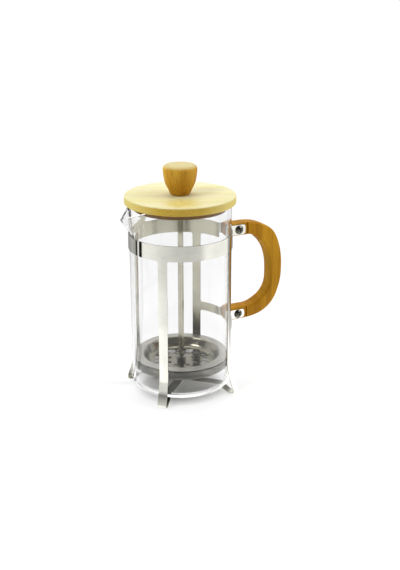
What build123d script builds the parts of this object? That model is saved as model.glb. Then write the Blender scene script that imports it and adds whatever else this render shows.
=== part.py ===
from build123d import *
from math import asin, atan2, cos, degrees, radians, sin, tan
import os

# A four-legged french press: a glass beaker in a stamped steel cage, with a bamboo lid,
# knob and handle, and a spring-rimmed mesh filter on a steel rod.
# Millimetres. The glass's axis is Z, the floor is Z = 0, the handle is at +X, the spout at -X.

# ---- driving dimensions ---------------------------------------------------------------
GLASS_R = 41.6          # outside radius of the glass
GLASS_WALL = 2.0
GLASS_FLOOR = 3.0
GLASS_RIM = 161.2       # height of the rim above the floor
SHEET = 0.75            # thickness of the cage's steel sheet
BAND_LOW, BAND_HIGH = 124.3, 136.9
LEG_WIDTH = 7.5
LEG_ANGLES = (45, 135, 225, 315)
ARM_LOW, ARM_HIGH = 54.4, 62.0
HANDLE_THICK = 13.0
LID_R = 45.0
LID_THICK = 6.5
PLUG_R = 38.6
PLUG_THICK = 4.3
ROD_R = 2.25
RING_TOP = 31.1         # top of the pressure plate's rim, plunger pressed down
KNOB_HEIGHT = 24.5
REST_GAP = 0.1          # play between bodies that rest on each other
SCREW_PLAY = 0.05       # play round a clamp screw
FIT_PLAY = 0.03         # play round a bush or a nut
THREAD_PLAY = 0.02      # play round a thread
END_PLAY = 0.3          # play past the end of a screw or a bush
JOIN = 0.1              # how far two shapes that are fused reach into each other
BEYOND = 200            # longer than anything that it cuts

# ---- sizes that follow ----------------------------------------------------------------
GLASS_IN_R = GLASS_R - GLASS_WALL
CAGE_IN_R = GLASS_R + 0.15
CAGE_OUT_R = CAGE_IN_R + SHEET
BASE_TOP = 5.6          # top of the crossed strips that the glass stands on
GLASS_LOW = BASE_TOP + REST_GAP
LID_LOW = GLASS_RIM + REST_GAP
LID_TOP = LID_LOW + LID_THICK
PLUG_LOW = LID_LOW - PLUG_THICK
KNOB_LOW = LID_TOP + REST_GAP
THREAD_R = ROD_R - 0.25

CENTRED_LOW = (Align.CENTER, Align.CENTER, Align.MIN)


# ---- helpers --------------------------------------------------------------------------
def disc(radius, low, high):
    """A solid cylinder about Z between two heights."""
    return Pos(0, 0, low) * Cylinder(radius, high - low, align=CENTRED_LOW)


def tube(inner, outer, low, high):
    """A hollow cylinder about Z between two heights."""
    return disc(outer, low, high) - disc(inner, low - 1, high + 1)


def turned(*edges):
    """A solid of revolution about Z, from a closed half profile drawn in X and Z."""
    return revolve(Plane.XZ * make_face(edges), Axis.Z)


def radial_block(angle, width, start, end, low, high):
    """A block along a radius of the glass: its width lies across that radius."""
    block = Pos((start + end) / 2, 0, (low + high) / 2) * Box(end - start, width, high - low)
    return Rot(0, 0, angle) * block


def hexagon(across_flats, low, high):
    """A hexagonal prism about Z between two heights."""
    outline = RegularPolygon(across_flats / 2, 6, major_radius=False)
    return Pos(0, 0, low) * extrude(outline, high - low)


# ---- glass ----------------------------------------------------------------------------
SPOUT_TIP = Vector(-52.7, 0, 153.4)
SPOUT_FOOT = Vector(-GLASS_R, 0, BAND_HIGH + 0.4)   # where the crease meets the round wall
SPOUT_HALF_ANGLE = 27                               # from the crease to where the rim is round again
SPOUT_WALL = 1.8
GLASS_CORNER = 5.0


def spout_prism():
    """The two flat facets of the pulled spout, closed inside the glass and open-ended above it."""
    side = radians(SPOUT_HALF_ANGLE)
    rim = [Vector(-GLASS_R * cos(side), s * GLASS_R * sin(side), GLASS_RIM) for s in (1, -1)]
    rise = (SPOUT_TIP - SPOUT_FOOT) * 0.6
    foot = SPOUT_TIP + (SPOUT_FOOT - SPOUT_TIP) * 1.25
    low = [SPOUT_TIP + (p - SPOUT_TIP) * 1.15 for p in rim]
    peak = SPOUT_TIP + rise
    high = [p + rise for p in low]
    faces = [
        (foot, peak, high[0], low[0]),
        (foot, low[1], high[1], peak),
        (foot, low[0], low[1]),
        (low[0], high[0], high[1], low[1]),
        (peak, high[1], high[0]),
    ]
    shell = Shell([make_face(Polyline(*f, close=True)).face() for f in faces])
    return Solid(shell), rim


def spout_inset(rim):
    """How far both facets move, together, to leave the spout's wall thickness."""
    crease = SPOUT_FOOT - SPOUT_TIP
    facet = crease.cross(rim[0] - SPOUT_TIP).normalized()
    out = Vector(crease.Z, 0, -crease.X).normalized()
    return out * (-SPOUT_WALL / abs(facet.dot(out))) * (1 if out.X < 0 else -1)


def above_lip(rim):
    """The space above the slanted plane through the spout's tip and the rim on both sides of it."""
    up = (rim[1] - SPOUT_TIP).cross(rim[0] - SPOUT_TIP).normalized()
    up = up if up.Z > 0 else up * -1
    lip = Plane(origin=SPOUT_TIP, x_dir=(0, 1, 0), z_dir=up)
    return extrude(lip * Rectangle(BEYOND, BEYOND), BEYOND)


def beaker():
    body = disc(GLASS_R, GLASS_LOW, GLASS_RIM)
    body = fillet(body.edges().sort_by(Axis.Z)[0], GLASS_CORNER)
    inside = disc(GLASS_IN_R, GLASS_LOW + GLASS_FLOOR, GLASS_RIM + BEYOND)
    inside = fillet(inside.edges().sort_by(Axis.Z)[0], GLASS_CORNER - GLASS_WALL / 2)
    prism, rim = spout_prism()
    spout = prism - above_lip(rim) - disc(BEYOND, GLASS_RIM, GLASS_RIM + BEYOND)
    hollow = Pos(*spout_inset(rim)) * prism
    return body + spout - inside - hollow


# ---- cage -----------------------------------------------------------------------------
FOOT_TOE_R = 49.0       # the foot's widest point
FLARE_TOP = 27.0        # where a leg leaves the glass's wall
FOOT_HEEL_R = 43.2      # where the foot starts to rise under the glass
RISE_END_R = 36.0
FOOT_BENDS = [6, 1.6, 3, 3]
EAR_HALF_GAP = HANDLE_THICK / 2 - SHEET
EAR_END = 56.8
EAR_CORNER = 2.4
MOUTH_LENGTH = 12.0     # of the cut that opens the rolled wall between the ears
UPPER_EAR = (128.7, 137.3)
LOWER_EAR = (ARM_LOW, ARM_HIGH)
UPPER_SCREW = (50.9, 133.0)
LOWER_SCREW = (50.9, 58.2)
SCREW_R = 2.0
CORNER_R = 2.0          # fillets where strips of the stamping meet


def corner_web(size):
    """The concave fillet between two strips at right angles, in the lower left of its corner."""
    return Pos(size / 2, size / 2) * Rectangle(size, size) - Pos(size, size) * Circle(size)


def leg_upright(angle):
    """One vertical leg, with the webs that join it to the band, rolled to the cage's radius."""
    low, high = FLARE_TOP, BAND_LOW + 1
    strip = Pos(0, (low + high) / 2) * Rectangle(LEG_WIDTH, high - low)
    web = corner_web(CORNER_R)
    left = Pos(-LEG_WIDTH / 2, BAND_LOW) * Rot(0, 0, 180) * web
    right = Pos(LEG_WIDTH / 2, BAND_LOW) * Rot(0, 0, 270) * web
    outline = strip + left + right
    face = Plane(origin=(0, 0, 0), x_dir=(0, 1, 0), z_dir=(1, 0, 0)) * outline
    return Rot(0, 0, angle) * extrude(face, BEYOND)


def leg_foot(angle):
    """The flared lower leg, the foot and the strip that runs in under the glass, as one bent strip."""
    middle = CAGE_OUT_R - SHEET / 2
    half = SHEET / 2
    path = FilletPolyline(
        (middle, 0, FLARE_TOP),
        (middle, 0, FLARE_TOP - 3),
        (FOOT_TOE_R - half, 0, half),
        (FOOT_HEEL_R, 0, half),
        (RISE_END_R, 0, BASE_TOP - half),
        (0, 0, BASE_TOP - half),
        radius=FOOT_BENDS,
    )
    section = Plane(origin=path @ 0, z_dir=path % 0, x_dir=(0, 1, 0)) * Rectangle(LEG_WIDTH, SHEET)
    return Rot(0, 0, angle) * sweep(section, path)


def ears(low, high, end, screw):
    """The two plates that hold one end of the handle, with rounded ends and screw holes."""
    start = CAGE_IN_R - 0.6
    outline = Pos((start + end) / 2, (low + high) / 2) * Rectangle(end - start, high - low)
    tips = outline.vertices().group_by(Axis.X)[-1]
    outline = fillet(tips, EAR_CORNER)
    outline -= Pos(*screw) * Circle(SCREW_R + SCREW_PLAY)
    front = Pos(0, -EAR_HALF_GAP, 0) * extrude(Plane.XZ * outline, SHEET)
    return front + mirror(front, Plane.XZ)


def arm(angle):
    """One lower arm, from its leg round towards the ear."""
    leg_half = degrees(asin(LEG_WIDTH / 2 / CAGE_IN_R))
    section = Pos(CAGE_OUT_R - SHEET / 2, (ARM_LOW + ARM_HIGH) / 2) * Rectangle(SHEET, ARM_HIGH - ARM_LOW)
    sector = revolve(Plane.XZ * section, Axis.Z, revolution_arc=LEG_ANGLES[0] - leg_half / 2)
    return sector if angle < 180 else mirror(sector, Plane.XZ)


def arm_webs(angle):
    """The fillets between a leg's edge and its arm, above and below the arm."""
    towards = -1 if angle < 180 else 1
    web = corner_web(CORNER_R)
    edge = towards * LEG_WIDTH / 2
    if towards > 0:
        upper, lower = web, Rot(0, 0, 270) * web
    else:
        upper, lower = Rot(0, 0, 90) * web, Rot(0, 0, 180) * web
    outline = Pos(edge, ARM_HIGH) * upper + Pos(edge, ARM_LOW) * lower
    face = Plane(origin=(0, 0, 0), x_dir=(0, 1, 0), z_dir=(1, 0, 0)) * outline
    return Rot(0, 0, angle) * extrude(face, BEYOND)


def cage():
    """The whole one-piece cage: band, legs, feet, base strips, arms and ears."""
    wall = tube(CAGE_IN_R, CAGE_OUT_R, 0, BAND_HIGH)
    band = tube(CAGE_IN_R, CAGE_OUT_R, BAND_LOW, BAND_HIGH)
    mouth = Pos(CAGE_OUT_R, 0, BEYOND / 2) * Box(MOUTH_LENGTH, 2 * EAR_HALF_GAP, BEYOND)
    uprights = [leg_upright(a) & wall for a in LEG_ANGLES]
    arms = [arm(a) for a in (LEG_ANGLES[0], LEG_ANGLES[-1])]
    webs = [arm_webs(a) & wall for a in (LEG_ANGLES[0], LEG_ANGLES[-1])]
    rolled = band
    for piece in uprights + arms + webs:
        rolled += piece
    rolled -= mouth
    feet = [leg_foot(a) for a in LEG_ANGLES]
    for piece in feet:
        rolled += piece
    clear_of_glass = disc(CAGE_IN_R, BASE_TOP, BEYOND)
    plates = ears(*UPPER_EAR, EAR_END, UPPER_SCREW) + ears(*LOWER_EAR, EAR_END, LOWER_SCREW)
    return rolled + plates - clear_of_glass


# ---- handle ---------------------------------------------------------------------------
TONGUE_START = 44.0
REBATE_END = 58.6
GROOVE_WIDTH = 1.2
GROOVE_DEPTH = 1.8
HANDLE_EDGE_R = 1.8
HANDLE_TOP, HANDLE_BOTTOM = 138.2, 53.1
HANDLE_REACH = 93.6                 # the grip's furthest point from the glass's axis
GAP_HIGH, GAP_LOW = 127.8, 63.8     # top and bottom of the finger gap at the tongues


def handle():
    """A D-shaped bamboo grip with two flat tongues that the ears clamp."""
    start = TONGUE_START
    outer = FilletPolyline(
        (start, HANDLE_TOP), (66, HANDLE_TOP), (85.4, 130.4), (HANDLE_REACH, 108), (HANDLE_REACH, 83),
        (87.1, 65.2), (76.5, 55.9), (63, HANDLE_BOTTOM), (start, HANDLE_BOTTOM),
        radius=[40, 22, 60, 48, 27, 26, 50],
    )
    inner = FilletPolyline(
        (start, GAP_LOW), (64.5, GAP_LOW), (76.5, 70.2), (82.4, 79.5),
        (82.4, 101), (77, 116.6), (64.5, GAP_HIGH), (start, GAP_HIGH),
        radius=[26, 20, 18, 48, 31, 21],
    )
    lower_end = Line((start, HANDLE_BOTTOM), (start, GAP_LOW))
    upper_end = Line((start, GAP_HIGH), (start, HANDLE_TOP))
    face = Plane.XZ * make_face([outer, lower_end, inner, upper_end])
    body = Pos(0, HANDLE_THICK / 2, 0) * extrude(face, HANDLE_THICK)
    cheeks = body.faces().sort_by(Axis.Y)
    body = fillet(cheeks[0].edges() + cheeks[-1].edges(), HANDLE_EDGE_R)
    cut = 4
    for side in (-1, 1):
        rebate_y = side * (HANDLE_THICK / 2 - SHEET + cut / 2)
        groove_y = side * (HANDLE_THICK / 2 - GROOVE_DEPTH + cut / 2)
        body -= Pos(REBATE_END / 2, rebate_y, HANDLE_TOP / 2) * Box(REBATE_END, cut, BEYOND)
        body -= Pos(REBATE_END + GROOVE_WIDTH / 2, groove_y, HANDLE_TOP / 2) * Box(GROOVE_WIDTH, cut, BEYOND)
    for x, z in (UPPER_SCREW, LOWER_SCREW):
        body -= Pos(x, 0, z) * Rot(90, 0, 0) * Cylinder(SCREW_R + SCREW_PLAY, 3 * HANDLE_THICK)
    return body


# ---- clamp screws and cap nuts --------------------------------------------------------
HEAD_R = 3.7
HEAD_HIGH = 2.3
NUT_FLATS = 7.0
NUT_HEX = 2.6
NUT_DOME = 2.4
SHANK_END = 2.0         # how far the shank stands into its cap nut
RECESS_WIDTH, RECESS_LENGTH, RECESS_DEEP = 0.9, 4.0, 1.2


def clamp_screw(x, z):
    """A round-headed cross-recess screw. It is made along Z and laid along Y, head at -Y."""
    profile = [
        TangentArc((0, -HEAD_HIGH), (HEAD_R, -0.3), tangent=(1, 0)),
        Line((HEAD_R, -0.3), (HEAD_R, 0)),
        Line((HEAD_R, 0), (SCREW_R, 0)),
        Line((SCREW_R, 0), (SCREW_R, HANDLE_THICK + SHANK_END)),
        Line((SCREW_R, HANDLE_THICK + SHANK_END), (0, HANDLE_THICK + SHANK_END)),
        Line((0, HANDLE_THICK + SHANK_END), (0, -HEAD_HIGH)),
    ]
    screw = turned(*profile)
    for turn in (0, 90):
        screw -= Pos(0, 0, -HEAD_HIGH) * Rot(0, 0, turn) * Box(RECESS_WIDTH, RECESS_LENGTH, 2 * RECESS_DEEP)
    return Pos(x, -HANDLE_THICK / 2, z) * Rot(-90, 0, 0) * screw


def cap_nut(x, z):
    """A hexagonal nut with a closed dome, on the screw's far end."""
    nut = hexagon(NUT_FLATS, 0, NUT_HEX) & turned(
        Line((0, 0), (NUT_FLATS / 2, 0)),
        Line((NUT_FLATS / 2, 0), (NUT_FLATS * 0.6, 0.5)),
        Line((NUT_FLATS * 0.6, 0.5), (NUT_FLATS * 0.6, NUT_HEX)),
        Line((NUT_FLATS * 0.6, NUT_HEX), (0, NUT_HEX)),
        Line((0, NUT_HEX), (0, 0)),
    )
    dome_r = NUT_FLATS / 2 - 0.4
    base = NUT_HEX - JOIN
    dome = turned(
        Line((0, base), (dome_r, base)),
        TangentArc((0, base + NUT_DOME), (dome_r, base), tangent=(1, 0)),
        Line((0, base + NUT_DOME), (0, base)),
    )
    bore = disc(SCREW_R + FIT_PLAY, -1, SHANK_END + END_PLAY)
    return Pos(x, HANDLE_THICK / 2, z) * Rot(-90, 0, 0) * (nut + dome - bore)


# ---- lid ------------------------------------------------------------------------------
LID_EDGE_R = 1.0
EYELET_OUT_R = 3.1
EYELET_FLANGE_R = 5.5
EYELET_FLANGE = 0.8
WASHER_R = 6.0
WASHER_THICK = 0.6
WASHER_LOW = LID_TOP - WASHER_THICK - 0.1
PLUG_EDGE_R = 0.8


def lid_disc():
    body = disc(LID_R, LID_LOW, LID_TOP)
    body = fillet(body.edges().filter_by(GeomType.CIRCLE), LID_EDGE_R)
    recess = disc(WASHER_R + FIT_PLAY, WASHER_LOW, LID_TOP + 1)
    return body - recess - disc(EYELET_OUT_R + FIT_PLAY, 0, BEYOND)


def lid_plug():
    body = disc(PLUG_R, PLUG_LOW, LID_LOW)
    body = fillet(body.edges().sort_by(Axis.Z)[0], PLUG_EDGE_R)
    return body - disc(EYELET_OUT_R + FIT_PLAY, 0, BEYOND)


def lid_eyelet():
    bore = ROD_R + 0.08
    shaft = tube(bore, EYELET_OUT_R, PLUG_LOW - EYELET_FLANGE, LID_TOP - 0.1)
    return shaft + tube(bore, EYELET_FLANGE_R, PLUG_LOW - EYELET_FLANGE, PLUG_LOW)


def eyelet_washer():
    return tube(EYELET_OUT_R + FIT_PLAY, WASHER_R, WASHER_LOW, WASHER_LOW + WASHER_THICK)


# ---- plunger --------------------------------------------------------------------------
KNOB_TOP = KNOB_LOW + KNOB_HEIGHT
INSERT_R = 3.4
INSERT_LOW = KNOB_LOW + 0.8
INSERT_HIGH = INSERT_LOW + 10
PLATE_R = 39.25
PLATE_SHEET = 0.6
DISH_RIM_R = 32.0
DISH_FLOOR_R = 27.4
DISH_DEPTH = 7.8
DISH_FLOOR_BEND, DISH_RIM_BEND = 5.0, 2.0       # bend radii on the dish's upper side
FLOOR_TOP = RING_TOP - DISH_DEPTH
LOCK_NUT_R = 3.8
LOCK_NUT_HIGH = 4.0
SPRING_R = 38.3
SPRING_TURN_R = 0.95
MESH_R = 39.2
MESH_THICK = 0.5
MESH_HIGH = RING_TOP - PLATE_SHEET - 2 * SPRING_TURN_R
MESH_LOW = FLOOR_TOP - PLATE_SHEET - MESH_THICK
CROSS_R = 36.5
CROSS_SHEET = 0.7
CROSS_RIM = 4.0
CROSS_HUB_R = 9.0
CROSS_SPOKES = 6
SPOKE_WIDTH = 5.0
HUB_NUT_FLATS = 8.0
HUB_NUT_HIGH = 3.6
INNER_HOLES = (8, 12.0, 2.5)                 # count, circle radius, hole radius
OUTER_HOLES = ((8, 20.3, 4.0, 0.0), (8, 20.3, 2.9, 22.5))   # the same, and the first hole's angle


def knob():
    """The turned bamboo knob: narrow at its foot, widest just under its slightly domed top."""
    low, top = KNOB_LOW, KNOB_TOP
    side = Spline(
        (8.0, low + 0.9), (9.7, low + 4.4), (12.3, low + 10), (13.5, low + 16.5), (13.8, low + 21.6),
        tangents=[(0.4, 1), (-0.02, 1)],
    )
    body = turned(
        Line((0, low), (7.1, low)),
        ThreePointArc((7.1, low), (7.75, low + 0.25), (8.0, low + 0.9)),
        side,
        ThreePointArc((13.8, low + 21.6), (13.1, low + 23.4), (11.6, low + 24.05)),
        TangentArc((0, top), (11.6, low + 24.05), tangent=(1, 0)),
        Line((0, top), (0, low)),
    )
    return body - disc(INSERT_R + FIT_PLAY, low - 1, INSERT_HIGH + END_PLAY)


def knob_insert():
    return tube(THREAD_R + THREAD_PLAY, INSERT_R, INSERT_LOW, INSERT_HIGH)


def plunger_rod():
    """The rod, with a thinner threaded end in the knob and another through the filter pack."""
    shoulder = FLOOR_TOP + LOCK_NUT_HIGH
    rod_end = MESH_LOW - CROSS_SHEET - HUB_NUT_HIGH - 0.6
    shaft = disc(ROD_R, shoulder, INSERT_LOW)
    return shaft + disc(THREAD_R, rod_end, shoulder) + disc(THREAD_R, INSERT_LOW, INSERT_HIGH - 0.5)


def lock_nut():
    """The round nut that holds the pressure plate down from above."""
    body = disc(LOCK_NUT_R, FLOOR_TOP, FLOOR_TOP + LOCK_NUT_HIGH)
    body = fillet(body.edges().sort_by(Axis.Z)[-1], 0.9)
    groove = tube(LOCK_NUT_R - 0.45, LOCK_NUT_R + 1, FLOOR_TOP + 1.3, FLOOR_TOP + 1.9)
    return body - groove - disc(THREAD_R + THREAD_PLAY, 0, BEYOND)


def ring_of_holes(count, circle, hole, first=0.0):
    """A row of drills through the pressure plate's floor."""
    drill = Pos(circle, 0, FLOOR_TOP) * Cylinder(hole, 6)
    return [Rot(0, 0, first + 360 / count * i) * drill for i in range(count)]


def pressure_plate():
    """The dished and perforated plate: flat rim, rounded shoulder, bowl-shaped wall, flat floor."""
    t = PLATE_SHEET
    bore = THREAD_R + THREAD_PLAY
    lean = t * tan(atan2(DISH_DEPTH, DISH_RIM_R - DISH_FLOOR_R) / 2)
    upper = FilletPolyline(
        (bore, FLOOR_TOP), (DISH_FLOOR_R, FLOOR_TOP), (DISH_RIM_R, RING_TOP), (PLATE_R, RING_TOP),
        radius=[DISH_FLOOR_BEND, DISH_RIM_BEND],
    )
    lower = FilletPolyline(
        (PLATE_R, RING_TOP - t), (DISH_RIM_R + lean, RING_TOP - t),
        (DISH_FLOOR_R + lean, FLOOR_TOP - t), (bore, FLOOR_TOP - t),
        radius=[DISH_RIM_BEND - t, DISH_FLOOR_BEND + t],
    )
    face = make_face([upper, Line(upper @ 1, lower @ 0), lower, Line(lower @ 1, upper @ 0)])
    plate = revolve(Plane.XZ * face, Axis.Z)
    for drill in ring_of_holes(*INNER_HOLES):
        plate -= drill
    for row in OUTER_HOLES:
        for drill in ring_of_holes(*row):
            plate -= drill
    return plate


def rim_spring():
    """The envelope of the fine coil spring that presses the mesh's edge against the glass."""
    height = RING_TOP - PLATE_SHEET - SPRING_TURN_R
    return Pos(0, 0, height) * Torus(SPRING_R, SPRING_TURN_R - 0.02)


def mesh_screen():
    """The woven screen: a flat floor with its edge turned up round the spring."""
    shell = tube(THREAD_R + THREAD_PLAY, MESH_R, MESH_LOW, MESH_HIGH)
    return shell - disc(MESH_R - MESH_THICK, MESH_LOW + MESH_THICK, BEYOND)


def cross_plate():
    """The stamped plate under the mesh: a rim and six spokes round a hub."""
    low = MESH_LOW - CROSS_SHEET
    windows = tube(CROSS_HUB_R, CROSS_R - CROSS_RIM, low - 1, MESH_LOW + 1)
    for i in range(CROSS_SPOKES):
        windows -= radial_block(360 / CROSS_SPOKES * i, SPOKE_WIDTH, 0, CROSS_R, low - 3, MESH_LOW + 3)
    return tube(THREAD_R + THREAD_PLAY, CROSS_R, low, MESH_LOW) - windows


def hub_nut():
    high = MESH_LOW - CROSS_SHEET
    return hexagon(HUB_NUT_FLATS, high - HUB_NUT_HIGH, high) - disc(THREAD_R + THREAD_PLAY, 0, BEYOND)


# ---- the pieces -----------------------------------------------------------------------
PIECES = {
    "cage": cage,
    "handle": handle,
    "upper_clamp_screw": lambda: clamp_screw(*UPPER_SCREW),
    "lower_clamp_screw": lambda: clamp_screw(*LOWER_SCREW),
    "upper_cap_nut": lambda: cap_nut(*UPPER_SCREW),
    "lower_cap_nut": lambda: cap_nut(*LOWER_SCREW),
    "beaker": beaker,
    "lid_disc": lid_disc,
    "lid_plug": lid_plug,
    "lid_eyelet": lid_eyelet,
    "eyelet_washer": eyelet_washer,
    "knob": knob,
    "knob_insert": knob_insert,
    "plunger_rod": plunger_rod,
    "lock_nut": lock_nut,
    "pressure_plate": pressure_plate,
    "rim_spring": rim_spring,
    "mesh_screen": mesh_screen,
    "cross_plate": cross_plate,
    "hub_nut": hub_nut,
}

os.makedirs("parts", exist_ok=True)
for name, make in PIECES.items():
    export_step(make(), f"parts/{name}.step")
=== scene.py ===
import math

import bmesh
import bpy
from mathutils import Matrix, Vector
from mathutils.geometry import delaunay_2d_cdt


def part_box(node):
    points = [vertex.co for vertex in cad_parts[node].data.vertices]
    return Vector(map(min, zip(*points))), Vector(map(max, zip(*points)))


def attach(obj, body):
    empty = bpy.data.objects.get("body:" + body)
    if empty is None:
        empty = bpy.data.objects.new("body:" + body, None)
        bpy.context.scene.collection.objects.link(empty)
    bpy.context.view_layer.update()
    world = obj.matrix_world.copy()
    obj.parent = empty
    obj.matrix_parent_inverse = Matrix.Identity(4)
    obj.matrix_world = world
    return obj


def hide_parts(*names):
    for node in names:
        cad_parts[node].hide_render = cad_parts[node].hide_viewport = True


# A french press. Lengths in this script are millimetres, turned to metres where a mesh is made.
# The glass's axis is Z, the floor is Z = 0, the handle is at +X and the spout at -X.

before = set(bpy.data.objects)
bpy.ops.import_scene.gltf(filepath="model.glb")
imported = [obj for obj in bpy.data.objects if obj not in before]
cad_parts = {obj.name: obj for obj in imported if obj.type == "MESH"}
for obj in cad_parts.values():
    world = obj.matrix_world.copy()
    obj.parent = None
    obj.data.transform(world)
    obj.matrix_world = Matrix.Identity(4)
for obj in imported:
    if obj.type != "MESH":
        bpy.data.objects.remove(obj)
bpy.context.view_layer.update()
MM = 0.001
TURN = 2 * math.pi


def node_box(node):
    """A CAD node's lowest and highest corners, in millimetres."""
    low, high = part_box(node)
    return low / MM, high / MM


# ---- sizes read from the frame ----------------------------------------------------------
GLASS_LOW, GLASS_HIGH = node_box("beaker")
LID_LOW, LID_HIGH = node_box("lid_disc")
PLUG_LOW, PLUG_HIGH = node_box("lid_plug")
KNOB_LOW, KNOB_HIGH = node_box("knob")
HANDLE_LOW, HANDLE_HIGH = node_box("handle")
PLATE_R = node_box("pressure_plate")[1].x
SPRING_LOW, SPRING_HIGH = node_box("rim_spring")
MESH_LOW, MESH_HIGH = node_box("mesh_screen")

GLASS_R = GLASS_HIGH.y
GLASS_WALL = 2.0
SHEET = 0.75
CAGE_R = GLASS_R + 0.15 + SHEET     # outside of the cage's rolled wall
BAND_LOW, BAND_HIGH = 124.3, 136.9
LEG_WIDTH = 7.5
BASE_TOP = GLASS_LOW.z - 0.1        # top of the crossed strips that the glass stands on


# ---- mesh helpers -----------------------------------------------------------------------
def rounded(points, radii, steps=6, closed=False):
    """A polyline of (a, b) points with its corners rounded; a radius of 0 keeps a corner."""
    out = []
    count = len(points)
    for i, here in enumerate(points):
        ends = not closed and i in (0, count - 1)
        radius = 0 if ends else radii[i]
        if not radius:
            out.append(tuple(here))
            continue
        corner = Vector(here)
        back = Vector(points[i - 1]) - corner
        ahead = Vector(points[(i + 1) % count]) - corner
        half = back.angle(ahead) / 2
        reach = radius / math.tan(half)
        start = corner + back.normalized() * reach
        end = corner + ahead.normalized() * reach
        centre = corner + (back.normalized() + ahead.normalized()).normalized() * radius / math.sin(half)
        a = start - centre
        sweep = a.angle_signed(end - centre)
        for k in range(steps + 1):
            turned = Matrix.Rotation(-sweep * k / steps, 2) @ a
            out.append(tuple(centre + turned))
    return out


def piece(name, verts, faces, material, body, replaced=(), sharp=35):
    """Makes a smooth-shaded mesh piece from millimetre points and puts it on its body."""
    mesh = bpy.data.meshes.new(name)
    mesh.from_pydata([tuple(c * MM for c in v) for v in verts], [], faces)
    return mesh_piece(name, mesh, material, body, replaced, sharp)


def mesh_piece(name, mesh, material, body, replaced=(), sharp=35):
    """Cleans a mesh, shades it smooth up to an angle, and puts the piece on its body, hiding the CAD parts it
    replaces.
    """
    bm = bmesh.new()
    bm.from_mesh(mesh)
    bmesh.ops.remove_doubles(bm, verts=bm.verts, dist=0.002 * MM)
    bmesh.ops.recalc_face_normals(bm, faces=bm.faces)
    bm.to_mesh(mesh)
    bm.free()
    mesh.shade_smooth()
    mesh.set_sharp_from_angle(angle=math.radians(sharp))
    mesh.materials.append(material)
    thing = bpy.data.objects.new(name, mesh)
    bpy.context.scene.collection.objects.link(thing)
    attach(thing, body)
    if replaced:
        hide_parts(*replaced)
    return thing


def lathe(profile, segments=128):
    """Points and faces of a profile of (radius, height) turned about Z. Radius 0 makes a pole."""
    verts, rows = [], []
    for r, z in profile:
        if r < 1e-6:
            rows.append([len(verts)] * segments)
            verts.append((0, 0, z))
        else:
            rows.append(list(range(len(verts), len(verts) + segments)))
            verts += [
                (r * math.cos(TURN * k / segments), r * math.sin(TURN * k / segments), z)
                for k in range(segments)
            ]
    return verts, join_rows(rows, wrap=True)


def join_rows(rows, wrap):
    """Quads, or triangles at a pole, between neighbouring rows of vertex numbers."""
    faces = []
    for low, high in zip(rows, rows[1:]):
        count = len(low)
        for k in range(count if wrap else count - 1):
            n = (k + 1) % count
            corners = [low[k], low[n], high[n], high[k]]
            unique = list(dict.fromkeys(corners))
            if len(unique) > 2:
                faces.append(unique)
    return faces


def tube(points, radius, sides=6, closed=False):
    """Points and faces of a round wire along a path of Vectors."""
    count = len(points)
    verts, rows = [], []
    side = None
    for i, p in enumerate(points):
        before = points[i - 1] if i or closed else p
        after = points[(i + 1) % count] if i < count - 1 or closed else p
        along = (after - before).normalized()
        if side is None:
            side = along.orthogonal().normalized()
        side = (side - along * side.dot(along)).normalized()
        other = along.cross(side)
        rows.append(list(range(len(verts), len(verts) + sides)))
        for k in range(sides):
            a = TURN * k / sides
            verts.append(tuple(p + (side * math.cos(a) + other * math.sin(a)) * radius))
    faces = join_rows(rows, wrap=True)
    if closed:
        first, last = rows[0], rows[-1]
        shift = min(range(sides), key=lambda s: (Vector(verts[first[s]]) - Vector(verts[last[0]])).length)
        faces += join_rows([last, first[shift:] + first[:shift]], wrap=True)
    else:
        faces += [rows[0][::-1], rows[-1]]
    return verts, faces


def merged(parts):
    """Several (points, faces) pairs as one."""
    verts, faces = [], []
    for v, f in parts:
        faces += [[i + len(verts) for i in face] for face in f]
        verts += v
    return verts, faces


# ---- camera -----------------------------------------------------------------------------
VIEW_AZIMUTH = math.radians(-26.5)     # the camera stands to the left of the handle's side
VIEW_DOWN = math.radians(19.84)
VIEW_PLACE = (-0.3082, -0.6537, 0.3512)
LENS = 58.6


def make_camera():
    """A camera a little above the pot, looking down on it."""
    data = bpy.data.cameras.new("camera")
    data.lens = LENS
    data.sensor_width = 36
    camera = bpy.data.objects.new("camera", data)
    camera.location = VIEW_PLACE
    camera.rotation_euler = (math.pi / 2 - VIEW_DOWN, 0, VIEW_AZIMUTH)
    bpy.context.scene.collection.objects.link(camera)
    bpy.context.scene.camera = camera


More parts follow.
